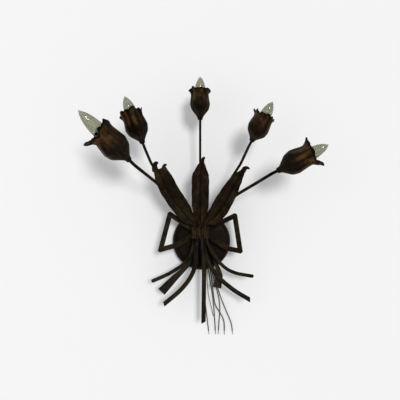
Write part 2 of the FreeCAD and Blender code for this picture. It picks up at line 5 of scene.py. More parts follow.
import bpy
import numpy as np
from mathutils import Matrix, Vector, noise


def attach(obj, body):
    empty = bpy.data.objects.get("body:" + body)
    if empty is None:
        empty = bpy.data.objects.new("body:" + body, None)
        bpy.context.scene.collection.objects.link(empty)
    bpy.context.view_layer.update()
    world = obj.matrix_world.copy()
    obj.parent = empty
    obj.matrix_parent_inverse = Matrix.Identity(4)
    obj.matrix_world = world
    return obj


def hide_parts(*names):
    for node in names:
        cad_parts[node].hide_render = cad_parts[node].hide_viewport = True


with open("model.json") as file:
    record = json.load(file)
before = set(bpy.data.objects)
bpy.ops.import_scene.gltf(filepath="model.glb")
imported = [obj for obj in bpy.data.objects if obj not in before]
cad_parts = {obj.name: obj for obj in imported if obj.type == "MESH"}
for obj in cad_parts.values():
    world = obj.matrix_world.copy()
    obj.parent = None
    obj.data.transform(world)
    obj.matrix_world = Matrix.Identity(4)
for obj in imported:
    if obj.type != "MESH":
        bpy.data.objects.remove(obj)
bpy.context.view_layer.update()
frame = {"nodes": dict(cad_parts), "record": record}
MM = 0.001

# Camera: the photo's view, square on to the wall.
CAMERA_DISTANCE = 1.10
CAMERA_X = -0.00336
CAMERA_Z = 0.0907
VIEW_WIDTH = 0.896           # width of the wall that fills the image
SENSOR = 36.0

# Flowers, in mm as the model has them: foot of the cup, the way it points, its size.
# "hole" is the radius of the bore that takes the stem.
# "rim" gives the height of the torn edge, as a share of the cup's length, at degrees round
# the cup from its right-hand side towards the viewer. "tips" are the places where the edge
# is drawn out: (degrees, outward curl, upward hook, width in degrees). "rolls" are where
# the lip itself turns over: (degrees, width in degrees, drop).
FLOWERS = {
    "outer_left": {"foot": (-139, -155, 167), "aim": (-85, -57, 86), "diameter": 52.0,
                   "length": 82.0, "hole": 3.2, "seed": 3,
                   "rim": [(0, 1.00), (24, 1.07), (42, 1.17), (60, 1.12), (82, 1.12),
                           (92, 1.04), (104, 0.97), (120, 1.00), (142, 1.00), (158, 1.02),
                           (172, 1.09), (184, 1.06), (198, 0.96), (230, 0.93), (268, 1.02),
                           (310, 0.92)],
                   "tips": [(36, 3, 1, 20), (172, 14, 1, 21), (268, 4, 0, 24)],
                   "rolls": [(172, 14, 3.0)]},
    "inner_left": {"foot": (-118, -118, 205), "aim": (-30, -42, 85), "diameter": 43.0,
                   "length": 70.0, "hole": 2.8, "seed": 8,
                   "rim": [(0, 0.92), (10, 1.00), (22, 0.93), (36, 0.98), (50, 1.02), (64, 1.16),
                           (74, 1.19), (86, 1.12), (104, 1.14), (122, 1.08), (140, 1.13),
                           (156, 0.98), (172, 0.92), (186, 0.96), (200, 0.88), (245, 0.98),
                           (300, 0.93), (335, 0.97)],
                   "tips": [(10, 2, 1, 9), (72, 1.5, 2, 12), (176, 4.5, 0, 12), (250, 4, 0, 25)],
                   "rolls": [(72, 10, 2.0), (176, 9, 1.6)]},
    "centre": {"foot": (-3, -78, 258), "aim": (0, -22, 84), "diameter": 37.5,
               "length": 64.0, "hole": 2.5, "seed": 5,
               "rim": [(0, 0.94), (10, 0.99), (24, 1.01), (60, 1.03), (90, 1.04), (120, 1.03),
                       (150, 1.03), (166, 1.01), (180, 0.98), (206, 0.98), (222, 1.09),
                       (236, 0.98), (300, 0.98), (340, 0.93)],
               "tips": [(2, 4.5, 0, 13), (180, 4.5, 0, 13), (220, 3, 2, 13), (300, 3, 0, 14)],
               "rolls": [(2, 12, 2.4), (180, 12, 2.0), (220, 8, 1.2)]},
    "inner_right": {"foot": (101, -108, 210), "aim": (37, -38, 72), "diameter": 41.0,
                    "length": 60.0, "hole": 2.8, "seed": 21,
                    "rim": [(0, 0.94), (8, 1.03), (16, 0.94), (26, 1.06), (36, 0.99), (48, 1.13),
                            (60, 1.08), (74, 1.18), (90, 1.10), (112, 1.13), (128, 1.04),
                            (146, 1.05), (160, 1.08), (170, 1.00), (182, 1.10), (194, 0.92),
                            (240, 0.92), (280, 1.02), (330, 0.90)],
                    "tips": [(182, 5, 1, 13), (158, 1.5, 2, 9), (8, 2, 0, 9), (280, 3, 0, 20)],
                    "rolls": [(182, 13, 2.6), (8, 9, 1.4)]},
    "outer_right": {"foot": (148.5, -140, 148), "aim": (87.5, -46, 45.5), "diameter": 45.0,
                    "length": 76.0, "hole": 3.2, "seed": 13,
                    "rim": [(0, 1.19), (14, 1.20), (26, 1.10), (36, 1.11), (48, 1.06), (70, 1.08),
                            (96, 1.10), (120, 1.09), (146, 1.10), (162, 1.12), (180, 1.12),
                            (194, 1.04), (220, 0.96), (262, 1.02), (310, 0.94), (344, 1.10)],
                    "tips": [(6, 9.0, 0, 18), (34, 5, -1, 12), (172, 8.0, 0, 26), (262, 4, 0, 22)],
                    "rolls": [(6, 17, 3.4), (172, 17, 3.2)]},
}
PETAL_NECK = 0.425           # neck radius, as a share of the cup's diameter
PETAL_FLARE = 0.47           # lip radius, as a share of the cup's diameter
FERRULE_WALL = 1.3
CUP_WALL = 1.1
CUP_TURNS = 216              # points round a cup
CUP_ROWS = 81                # rows of points from its foot to its rim
COARSE_GATHERS = 22          # folds pressed into its foot
FINE_GATHERS = 41


def unit(v):
    return Vector(v).normalized()


# --- materials -----------------------------------------------------------------------------
class Nodes:
    """A node tree with short calls for the few node kinds that the materials use."""

    def __init__(self, name):
        self.material = bpy.data.materials.new(name)
        self.material.use_nodes = True
        self.tree = self.material.node_tree
        self.shader = self.tree.nodes["Principled BSDF"]
        self.coords = self.add("ShaderNodeTexCoord")

    def add(self, kind, **values):
        node = self.tree.nodes.new(kind)
        for key, value in values.items():
            setattr(node, key, value)
        return node

    def link(self, a, b):
        self.tree.links.new(a, b)

    def noise(self, scale, detail=4.0, rough=0.55, source="Object", stretch=(1, 1, 1), at=(0, 0, 0)):
        place = self.add("ShaderNodeMapping")
        place.inputs["Scale"].default_value = stretch
        place.inputs["Location"].default_value = at
        self.link(self.coords.outputs[source], place.inputs["Vector"])
        node = self.add("ShaderNodeTexNoise")
        node.inputs["Scale"].default_value = scale
        node.inputs["Detail"].default_value = detail
        node.inputs["Roughness"].default_value = rough
        self.link(place.outputs["Vector"], node.inputs["Vector"])
        return node.outputs["Fac"]

    def ramp(self, source, low, high):
        node = self.add("ShaderNodeMapRange", interpolation_type="SMOOTHSTEP")
        node.inputs["From Min"].default_value = low
        node.inputs["From Max"].default_value = high
        self.link(source, node.inputs["Value"])
        return node.outputs["Result"]

    def mix(self, factor, a, b, blend="MIX"):
        node = self.add("ShaderNodeMix", data_type="RGBA", blend_type=blend)
        for socket, value in ((node.inputs[0], factor), (node.inputs[6], a), (node.inputs[7], b)):
            if hasattr(value, "is_output"):
                self.link(value, socket)
            elif isinstance(value, (int, float)):
                socket.default_value = value
            else:
                socket.default_value = (*value, 1.0)
        return node.outputs[2]

    def math(self, operation, a, b):
        node = self.add("ShaderNodeMath", operation=operation)
        for socket, value in ((node.inputs[0], a), (node.inputs[1], b)):
            if hasattr(value, "is_output"):
                self.link(value, socket)
            else:
                socket.default_value = value
        return node.outputs[0]

    def split_uv(self):
        node = self.add("ShaderNodeSeparateXYZ")
        self.link(self.coords.outputs["UV"], node.inputs[0])
        return node.outputs

    def bump(self, height, strength, distance):
        node = self.add("ShaderNodeBump")
        node.inputs["Strength"].default_value = strength
        node.inputs["Distance"].default_value = distance
        self.link(height, node.inputs["Height"])
        self.link(node.outputs["Normal"], self.shader.inputs["Normal"])

    def colour(self, source):
        self.link(source, self.shader.inputs["Base Color"])

    def rough(self, source, low, high):
        node = self.add("ShaderNodeMapRange")
        node.inputs["To Min"].default_value = low
        node.inputs["To Max"].default_value = high
        self.link(source, node.inputs["Value"])
        self.link(node.outputs["Result"], self.shader.inputs["Roughness"])

    def set(self, **values):
        for key, value in values.items():
            self.shader.inputs[key.replace("_", " ")].default_value = value


# Colours of the aged iron, from its near black to the copper bloom at the torn edges.
IRON_BLACK = (0.0012, 0.0008, 0.0006)
IRON_BROWN = (0.0120, 0.0074, 0.0040)
IRON_WARM = (0.0480, 0.0200, 0.0060)
IRON_RUST = (0.0280, 0.0080, 0.0030)
IRON_TAN = (0.0780, 0.0470, 0.0200)
IRON_OLIVE = (0.0180, 0.0140, 0.0045)
IRON_PLUM = (0.0080, 0.0028, 0.0032)
IRON_GREY = (0.0210, 0.0192, 0.0152)
IRON_ASH = (0.0185, 0.0138, 0.0094)
IRON_UMBER = (0.0250, 0.0140, 0.0055)
IRON_DARK = (0.0050, 0.0030, 0.0022)
COPPER_BLOOM = (0.0740, 0.0350, 0.0115)


def iron(name, base, patches, coarse=38.0, streaks=None, edge=None, with_tone_and_painted_shade=False):
    """Patinated iron: blotches of colour over a dark base, pitted and unevenly dull, with painted
    shade on the lip and from the per-point tone where asked.
    """
    m = Nodes(name)
    mottle = m.noise(coarse, 5.0, 0.6)
    shade = m.mix(m.ramp(mottle, 0.35, 0.65), IRON_BLACK, base)
    for i, (colour, size, low, high) in enumerate(patches):
        blotch = m.noise(size, 4.0, 0.62, at=(1.7 * i + 0.31, 0.9 * i, 2.3 * i))
        shade = m.mix(m.ramp(blotch, low, high), shade, colour)
    if streaks:
        drawn = m.noise(1.0, 6.0, 0.65, source="UV", stretch=streaks)
        shade = m.mix(m.math("MULTIPLY", m.ramp(drawn, 0.35, 0.75), 0.45), shade,
                      m.mix(0.45, shade, IRON_TAN))
    if edge:
        height = m.split_uv()[1]
        near_rim = m.ramp(height, edge[0], edge[1])
        broken = m.ramp(m.noise(70.0, 4.0, 0.6, at=(4.0, 1.0, 0.0)), 0.38, 0.68)
        shade = m.mix(m.math("MULTIPLY", near_rim, broken), shade, COPPER_BLOOM)
        # Painted shade: the lip is darkened towards near black.
        painted_shade_at_lip = m.ramp(height, 0.93, 0.985)
        shade = m.mix(m.math("MULTIPLY", painted_shade_at_lip, 0.8), shade, IRON_BLACK)
    # Multiplies in the per-point tone: painted shade and highlight, with some random tone.
    if with_tone_and_painted_shade:
        tone_and_painted_shade = m.add("ShaderNodeAttribute", attribute_name="tone_and_painted_shade")
        shade = m.mix(1.0, shade, tone_and_painted_shade.outputs["Color"], blend="MULTIPLY")
    m.colour(shade)
    grain = m.noise(900.0, 5.0, 0.7)
    dents = m.noise(150.0, 3.0, 0.5)
    m.rough(grain, 0.34, 0.62)
    height = m.math("ADD", m.math("MULTIPLY", grain, 0.35), dents)
    m.bump(height, 0.55, 0.0009)
    m.set(Metallic=0.40, Specular_IOR_Level=0.10, Specular_Tint=(1.0, 0.86, 0.68, 1.0))
    return m.material


def plain_metal(name, colour, rough):
    """Bare metal, unevenly fogged, with a fine grain."""
    m = Nodes(name)
    fog = m.noise(120.0, 4.0, 0.6)
    dull = tuple(c * 0.62 for c in colour)
    m.colour(m.mix(m.ramp(fog, 0.35, 0.7), colour, dull))
    m.rough(fog, rough * 0.8, rough * 1.3)
    m.bump(m.noise(700.0, 3.0, 0.5), 0.15, 0.0002)
    m.set(Metallic=1.0)
    return m.material


def dull_plastic(name, colour, rough, speck=600.0):
    """An insulator or coating: uneven in colour, with a finely bumpy skin."""
    m = Nodes(name)
    fog = m.noise(90.0, 3.0, 0.5)
    m.colour(m.mix(fog, colour, tuple(c * 0.7 for c in colour)))
    m.rough(fog, rough * 0.85, rough * 1.15)
    m.bump(m.noise(speck, 2.0, 0.5), 0.2, 0.0002)
    return m.material


def bulb_glass_material():
    """Clear glass with a faint olive tint, deeper where it is seen edge on."""
    m = Nodes("clear_glass")
    haze = m.noise(60.0, 3.0, 0.6)
    edge = m.add("ShaderNodeLayerWeight")
    edge.inputs["Blend"].default_value = 0.35
    clear = m.mix(haze, (0.62, 0.62, 0.53), (0.55, 0.55, 0.46))
    m.colour(m.mix(edge.outputs["Facing"], clear, (0.20, 0.20, 0.16)))
    m.rough(haze, 0.0, 0.02)
    m.set(Transmission_Weight=1.0, IOR=1.46, Specular_IOR_Level=0.5)
    return m.material


def build_materials():
    rust = (IRON_RUST, 30.0, 0.56, 0.72)
    warm = (IRON_WARM, 42.0, 0.50, 0.68)
    olive = (IRON_OLIVE, 24.0, 0.48, 0.66)
    plum = (IRON_PLUM, 26.0, 0.50, 0.66)
    grey = (IRON_GREY, 36.0, 0.58, 0.74)
    tan = (IRON_TAN, 64.0, 0.64, 0.80)
    umber = (IRON_UMBER, 30.0, 0.50, 0.70)
    ember = (IRON_RUST, 20.0, 0.62, 0.80)
    return {
        "iron": iron("aged_iron", IRON_BROWN, [olive, rust, grey]),
        "tail_iron": iron("tail_iron", IRON_ASH, [grey, olive, tan]),
        "iron_cup": iron("cup_iron", IRON_BROWN, [plum, warm, olive, rust, grey],
                         streaks=(26.0, 1.2, 1.0), edge=(0.50, 0.80), with_tone_and_painted_shade=True),
        "iron_leaf": iron("leaf_iron", IRON_BROWN, [olive, umber, plum, tan],
                          streaks=(5.0, 0.8, 1.0), with_tone_and_painted_shade=True),
        "canopy_iron": iron("canopy_iron", IRON_DARK, [plum, ember], coarse=26.0),
        "steel": plain_metal("zinc_steel", (0.45, 0.44, 0.42), 0.34),
        "brass": plain_metal("tarnished_brass", (0.50, 0.36, 0.16), 0.30),
        "copper": plain_metal("bare_copper", (0.16, 0.07, 0.03), 0.42),
        "socket": dull_plastic("dark_phenolic", (0.030, 0.025, 0.022), 0.42),
        "sleeve": dull_plastic("glass_sleeving", (0.30, 0.27, 0.19), 0.8, 1500.0),
        "lead_cover": dull_plastic("olive_insulation", (0.016, 0.014, 0.005), 0.55),
        "filament": dull_plastic("pale_stem", (0.72, 0.71, 0.60), 0.25),
        "glass": bulb_glass_material(),
    }


MATERIALS = build_materials()


def dress(obj, slot):
    obj.data.materials.clear()
    obj.data.materials.append(MATERIALS[slot])


def dress_frame():
    """Every carried-over node takes its slot's finish, except tails and blades, which take the tail
    iron.
    """
    for entry in frame["record"]["subparts"]:
        name = entry["node"]
        slot = "tail_iron" if name.startswith(("tail", "blade")) else entry["material_slot"]
        dress(frame["nodes"][name], slot)


# --- mesh helpers ----------------------------------------------------------------------------
def sheet_mesh(name, rows, closed=False, tones_and_painted_shade=None):
    """A quad grid from rows of points, with U across, V along, and a tone for each point that holds
    painted shade as well as random tone.
    """
    count = len(rows[0])
    verts = [p for row in rows for p in row]
    faces = []
    across = count if closed else count - 1
    for j in range(len(rows) - 1):
        for i in range(across):
            k = (i + 1) % count
            faces.append((j * count + i, j * count + k, (j + 1) * count + k, (j + 1) * count + i))
    mesh = bpy.data.meshes.new(name)
    mesh.from_pydata(verts, [], faces)
    tone_and_painted_shade = mesh.attributes.new(name="tone_and_painted_shade", type="FLOAT", domain="POINT")
    flat = [t for row in tones_and_painted_shade for t in row] if tones_and_painted_shade else [1.0] * len(verts)
    tone_and_painted_shade.data.foreach_set("value", flat)
    layer = mesh.uv_layers.new(name="UVMap")
    index = 0
    for j in range(len(rows) - 1):
        for i in range(across):
            for di, dj in ((0, 0), (1, 0), (1, 1), (0, 1)):
                layer.data[index].uv = ((i + di) / across, (j + dj) / (len(rows) - 1))
                index += 1
    mesh.polygons.foreach_set("use_smooth", [True] * len(mesh.polygons))
    obj = bpy.data.objects.new(name, mesh)
    bpy.context.scene.collection.objects.link(obj)
    return obj


def thicken(obj, thickness, offset, levels=1):
    """Gives a sheet its wall, and rounds it unless its own grid is fine enough already."""
    solid = obj.modifiers.new("wall", "SOLIDIFY")
    solid.thickness = thickness
    solid.offset = offset
    solid.use_even_offset = False
    if levels:
        smooth = obj.modifiers.new("smooth", "SUBSURF")
        smooth.levels = levels
        smooth.render_levels = levels


def smooth_curve(points, samples):
    """Catmull-Rom through (position, value...) rows, sampled at evenly spaced parameters."""
    data = np.array(points, dtype=float)
    ends = np.vstack([2 * data[0] - data[1], data, 2 * data[-1] - data[-2]])
    result = []
    for s in np.linspace(0, len(data) - 1, samples):
        i = min(int(s), len(data) - 2)
        f = s - i
        a, b, c, d = ends[i], ends[i + 1], ends[i + 2], ends[i + 3]
        result.append(0.5 * (2 * b + (c - a) * f + (2 * a - 5 * b + 4 * c - d) * f * f
                             + (3 * b - a - 3 * c + d) * f ** 3))
    return np.array(result)


def smoothstep(x, low, high):
    f = min(max((x - low) / (high - low), 0.0), 1.0)
    return f * f * (3 - 2 * f)


# --- flowers ---------------------------------------------------------------------------------
def around(a, b):
    """Signed difference of two angles in degrees, from -180 to 180."""
    return (a - b + 180.0) % 360.0 - 180.0


def rim_at(flower, angle):
    """Rim height, outward curl and upward hook of a cup at an angle."""
    rim = flower["rim"]
    angles = [a for a, _ in rim] + [rim[0][0] + 360.0]
    heights = [h for _, h in rim] + [rim[0][1]]
    nearby = [(angle + d) % 360.0 for d in (-5.0, -2.5, 0.0, 2.5, 5.0)]
    height = float(np.average(np.interp(nearby, angles, heights), weights=(1, 2, 3, 2, 1)))
    curl = hook = 0.0
    for at, outward, upward, width in flower["tips"]:
        near = math.exp(-(around(angle, at) / width) ** 2)
        curl += outward * near
        hook += upward * near
    return height, curl, hook


def cup_rows(flower):
    """Points of a cup's outer face, row by row from its foot to the torn rim."""
    foot = Vector(flower["foot"])
    aim = unit(flower["aim"])
    side = aim.cross(Vector((0, -1, 0))).normalized()
    front = side.cross(aim).normalized()
    half = flower["diameter"] / 2
    length = flower["length"]
    shape = [(flower["hole"] + FERRULE_WALL, 0), (0.18 * half + 2, 0.10), (0.52 * half, 0.20),
             (0.83 * half, 0.32), (0.98 * half, 0.45), (half, 0.53), (2 * PETAL_NECK * half, 0.84),
             (2 * PETAL_FLARE * half, 1.0), (2 * PETAL_FLARE * half + 1.0, 1.2)]
    profile = smooth_curve(shape, CUP_ROWS)
    heights, radii = profile[:, 1], profile[:, 0]
    random.seed(flower["seed"])
    phase = [random.uniform(0, 2 * math.pi) for _ in range(4)]
    rows, tones_and_painted_shade = [], []
    for j in range(CUP_ROWS):
        t = j / (CUP_ROWS - 1)
        row, shades = [], []
        for i in range(CUP_TURNS):
            angle = 360.0 * i / CUP_TURNS
            turn = math.radians(angle)
            top, curl, hook = rim_at(flower, angle)
            spot = Vector((math.cos(turn), math.sin(turn), flower["seed"]))
            ragged = 0.022 * noise.noise(spot * 4.1) + 0.012 * noise.noise(spot * 11.3)
            z = t * (top + ragged)
            r = float(np.interp(z, heights, radii))
            pleat = smoothstep(z, 0.04, 0.14) * (1 - smoothstep(z, 0.30, 0.52))
            gather = math.sin(COARSE_GATHERS * turn + phase[0] + 2.0 * math.sin(2 * turn))
            fine = math.sin(FINE_GATHERS * turn + phase[1])
            r += pleat * (0.55 * gather + 0.25 * fine)
            upper = smoothstep(z, 0.35, 0.75)
            r += upper * (0.9 * math.sin(5 * turn + phase[2]) + 0.45 * math.sin(9 * turn + phase[3]))
            r += 0.9 * noise.noise(Vector((2.2 * spot.x, 2.2 * spot.y, 3.0 * z + flower["seed"])))
            bend = smoothstep(t, 0.72, 1.0)
            r += curl * bend ** 1.3
            lift = hook * bend ** 2 - 0.30 * max(curl, 0) * bend ** 4
            for at, width, drop in flower["rolls"]:
                roll = math.exp(-(around(angle, at) / width) ** 2)
                lift -= drop * roll * smoothstep(t, 0.92, 1.0)
                r += 0.45 * drop * roll * math.sin(math.pi * smoothstep(t, 0.88, 1.0))
            radial = side * math.cos(turn) + front * math.sin(turn)
            row.append((foot + radial * r + aim * (z * length + lift)) * MM)
            folds = noise.noise(Vector((3.2 * spot.x, 3.2 * spot.y, 1.1 * z + flower["seed"])))
            # Tone: painted shade in the gathers' valleys and painted highlight on their ridges,
            # random mottling, and darker towards the foot.
            shade = 0.70 + 0.45 * pleat * gather + 0.15 * pleat * fine + 1.1 * folds * upper
            shade *= 0.62 + 0.62 * smoothstep(z, 0.42, 0.86)
            # Painted shade along the lip.
            shade *= 1 - 0.75 * smoothstep(t, 0.945, 0.98)
            shades.append(max(shade, 0.05))
        rows.append(row)
        tones_and_painted_shade.append(shades)
    return rows, tones_and_painted_shade


def build_cup(name):
    flower = FLOWERS[name]
    rows, tones_and_painted_shade = cup_rows(flower)
    cup = sheet_mesh("petals_" + name, rows, closed=True, tones_and_painted_shade=tones_and_painted_shade)
    thicken(cup, CUP_WALL * MM, offset=-1.0, levels=0)
    dress(cup, "iron_cup")
    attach(cup, "root")
    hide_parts("cup_" + name)


# --- leaves: crease stations, each with its half width and fold, in mm ----------------------
LEAVES = {
    "centre": {"seed": 2, "crease": 0.0, "stations": [
        ((-3, -61, 24), 4.3, 1.2), ((-3, -62, 40), 5.2, 1.8), ((-3, -66, 55), 11.5, 4),
        ((-3, -73, 83), 17.6, 5.6), ((-2.5, -81, 118), 17.8, 5.6), ((-2.2, -86, 139), 17.4, 5.0),
        ((-1.4, -88, 149), 14.5, 4.0), ((0, -91, 161), 8.6, 2.8), ((1.4, -93, 170), 3.6, 1.4),
        ((2.2, -94, 175.5), 2.4, 0.8)]},
    "left": {"seed": 6, "crease": 0.22, "stations": [
        ((-12.5, -60, 24), 3.6, 1.2), ((-13.8, -61, 39), 4.2, 1.8), ((-28, -68, 54), 13.0, 4),
        ((-45, -82, 79), 17.8, 5.6), ((-61, -96, 104), 18.2, 5.6), ((-75, -108, 131), 17.6, 4.8),
        ((-80, -112, 143), 15.4, 3.6), ((-84, -114, 154), 12.4, 2.4)]},
    "right": {"seed": 9, "crease": -0.2, "stations": [
        ((6.5, -60, 24), 3.6, 1.2), ((7.8, -61, 39), 4.2, 1.8), ((25, -68, 53), 14.0, 4),
        ((40, -79, 77), 18.2, 5.6), ((54, -93, 103), 17.0, 5.4), ((66, -104, 125), 13.6, 4.4),
        ((77, -110, 141), 8.4, 2.8), ((83, -113, 149), 4.6, 1.6), ((86, -115, 154), 2.6, 0.9)]},
}
# Curled ends drawn out of the leaves' torn tips: points (x, y, z) and half widths, in mm.
HOOKS = {
    "centre": [[((1.6, -93.5, 168), 3.6), ((2.6, -94.5, 174), 3.2), ((4.8, -96, 177.0), 2.2),
                ((7.0, -96.5, 175.5), 0.8)]],
    "left": [[((-92, -115, 148), 7.0), ((-94.0, -117, 155), 6.0), ((-93.5, -119, 161), 4.8),
              ((-90.0, -121.5, 164.5), 3.6), ((-86.5, -121, 163.5), 1.4)],
             [((-75.5, -113.5, 147), 6.4), ((-76.5, -115, 153), 4.4), ((-75.5, -117, 158.5), 3.2),
              ((-72.5, -119, 161), 2.4), ((-69.5, -118.5, 160.5), 0.9)]],
    "right": [[((83, -114, 148), 5.4), ((86, -116, 153.5), 4.6), ((91, -118, 155.0), 3.2),
               ((96.0, -118.5, 153.0), 0.9)]],
}
LEAF_WALL = 1.2
HOOK_WALL = 0.9
LEAF_ROWS = 96
LEAF_ACROSS = 37
HOOK_ROWS = 26


def leaf_rows(leaf):
    """Points over a leaf: a trough with a sharp crease, hammered and wavy at its edges."""
    table = [(*centre, half, fold) for centre, half, fold in leaf["stations"]]
    line = smooth_curve(table, LEAF_ROWS)
    seed = leaf["seed"]
    rows, tones_and_painted_shade = [], []
    for j in range(len(line)):
        centre = Vector(line[j, :3])
        half, fold = max(line[j, 3], 0.4), line[j, 4]
        along = Vector(line[min(j + 1, len(line) - 1), :3] - line[max(j - 1, 0), :3]).normalized()
        front = Vector((0, -1, 0))
        front = (front - along * front.dot(along)).normalized()
        side = front.cross(along).normalized()
        shift = leaf["crease"] * smoothstep(j, 20, 45)
        row, shades = [], []
        for i in range(LEAF_ACROSS):
            s = i / (LEAF_ACROSS // 2) - 1
            off = (s - shift) / (1 - shift * (1 if s > shift else -1))
            sheet = fold * abs(off) ** 1.2
            spot = centre * 0.06 + Vector((s * 1.3, seed, 0))
            wide = min(half / 8, 1.0)
            dent = 1.1 * wide * noise.noise(spot * 1.9) + 0.35 * wide * noise.noise(spot * 6.0)
            groove = -1.1 * wide * math.exp(-((s - shift) / 0.055) ** 2)
            wave = 1.3 * wide * abs(s) ** 3 * math.sin(j * 0.2 + seed + (2.0 if s > 0 else 0.0))
            notch = 1.0 + 0.07 * wide * noise.noise(Vector((j * 0.16, seed, s > 0)))
            point = centre + side * (s * half * notch) + front * (sheet + dent + groove + wave)
            row.append(point * MM)
            shade = 1.0 + 0.55 * noise.noise(spot * 2.4) + 0.35 * (1 - smoothstep(j, 12, 40))
            # Painted shade along the crease; the tone is also darker towards the edges.
            shade *= 1 - 0.75 * math.exp(-((s - shift) / 0.06) ** 2)
            shade *= 1 - 0.45 * smoothstep(abs(s), 0.88, 1.0)
            shades.append(max(shade, 0.05))
        rows.append(row)
        tones_and_painted_shade.append(shades)
    return rows, tones_and_painted_shade


def hook_rows(points):
    """A narrow strip of sheet that curls over at a torn tip."""
    line = smooth_curve([(*p, half) for p, half in points], HOOK_ROWS)
    rows = []
    for j in range(len(line)):
        centre = Vector(line[j, :3])
        along = Vector(line[min(j + 1, len(line) - 1), :3] - line[max(j - 1, 0), :3]).normalized()
        side = Vector((0, -1, 0)).cross(along).normalized()
        front = along.cross(side)
        rows.append([(centre + side * (s * max(line[j, 3], 0.15))
                      + front * (-0.8 * (1 - s * s))) * MM for s in (-1, -0.5, 0, 0.5, 1)])
    return rows


def finish_sheet(piece, node, wall):
    thicken(piece, wall * MM, offset=1.0)
    dress(piece, "iron_leaf")
    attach(piece, "root")
    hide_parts(node)


def build_leaf(name):
    rows, tones_and_painted_shade = leaf_rows(LEAVES[name])
    finish_sheet(sheet_mesh("leaf_sheet_" + name, rows, tones_and_painted_shade=tones_and_painted_shade), "leaf_" + name, LEAF_WALL)
    for i, points in enumerate(HOOKS[name]):
        hook = sheet_mesh("leaf_hook_%s_%d" % (name, i + 1), hook_rows(points))
        finish_sheet(hook, "leaf_" + name, HOOK_WALL)


# --- binding band: the gathered, ribbed foot of the bunch, in mm -------------------------------
BAND = {"x": -3.0, "y": -52.0, "low": 9.5, "high": 36.5, "width": 38.0, "depth": 30.0,
        "corner": 9.0}
BAND_WALL = 1.2
BAND_ROWS = 25
CORNER_POINTS = 31           # points round each rounded corner
SIDE_POINTS = 24             # points along each straight side


def band_rows():
    """Points round a rounded oblong, with upright gathers that fade to the back."""
    half_w, half_d, corner = BAND["width"] / 2, BAND["depth"] / 2, BAND["corner"]
    outline = []
    for cx, cy, start in ((1, 1, 0), (-1, 1, 90), (-1, -1, 180), (1, -1, 270)):
        for k in range(CORNER_POINTS):
            turn = math.radians(start + 90 * k / (CORNER_POINTS - 1))
            outline.append((cx * (half_w - corner) + corner * math.cos(turn),
                            cy * (half_d - corner) + corner * math.sin(turn),
                            math.cos(turn), math.sin(turn)))
    dense = []
    for k, (x, y, nx, ny) in enumerate(outline):
        x2, y2 = outline[(k + 1) % len(outline)][:2]
        steps = SIDE_POINTS if math.hypot(x2 - x, y2 - y) > 3 else 1
        for q in range(steps):
            f = q / steps
            dense.append((x + (x2 - x) * f, y + (y2 - y) * f, nx, ny))
    rows, tones_and_painted_shade = [], []
    for j in range(BAND_ROWS):
        t = j / (BAND_ROWS - 1)
        row, shades = [], []
        for x, y, nx, ny in dense:
            sway = 1.5 * math.sin(2.6 * t + x * 0.13) + 1.2 * noise.noise(Vector((x * 0.2, t, 7)))
            rib = 0.75 * math.cos(2 * math.pi * x / 5.2 + sway) + 0.45 * math.cos(x / 1.9 + 2 * t)
            rib *= smoothstep(-ny, -0.2, 0.8)
            pinch = -1.6 * math.sin(math.pi * t) ** 2 + 1.2 * smoothstep(abs(2 * t - 1), 0.5, 1.0)
            edge = 1.9 * math.cos(2 * math.pi * x / 12.6) + 1.2 * math.cos(2 * math.pi * x / 5.2)
            edge = (edge - 1.6) * smoothstep(-ny, 0.2, 0.9)
            z = BAND["low"] + (BAND["high"] - BAND["low"] - 1.4 + edge) * t
            rough = 0.35 * noise.noise(Vector((x, y, z)) * 0.25)
            out = rib + pinch + rough - 0.9
            row.append(Vector((BAND["x"] + x + nx * out, BAND["y"] + y + ny * out, z)) * MM)
            # Tone: painted highlight on the ribs' crests and painted shade in the grooves between
            # them.
            shades.append(max(1.05 + 0.75 * rib, 0.15))
        rows.append(row)
        tones_and_painted_shade.append(shades)
    return rows, tones_and_painted_shade


def build_band():
    rows, tones_and_painted_shade = band_rows()
    band = sheet_mesh("gathered_band", rows, closed=True, tones_and_painted_shade=tones_and_painted_shade)
    finish_sheet(band, "band", BAND_WALL)


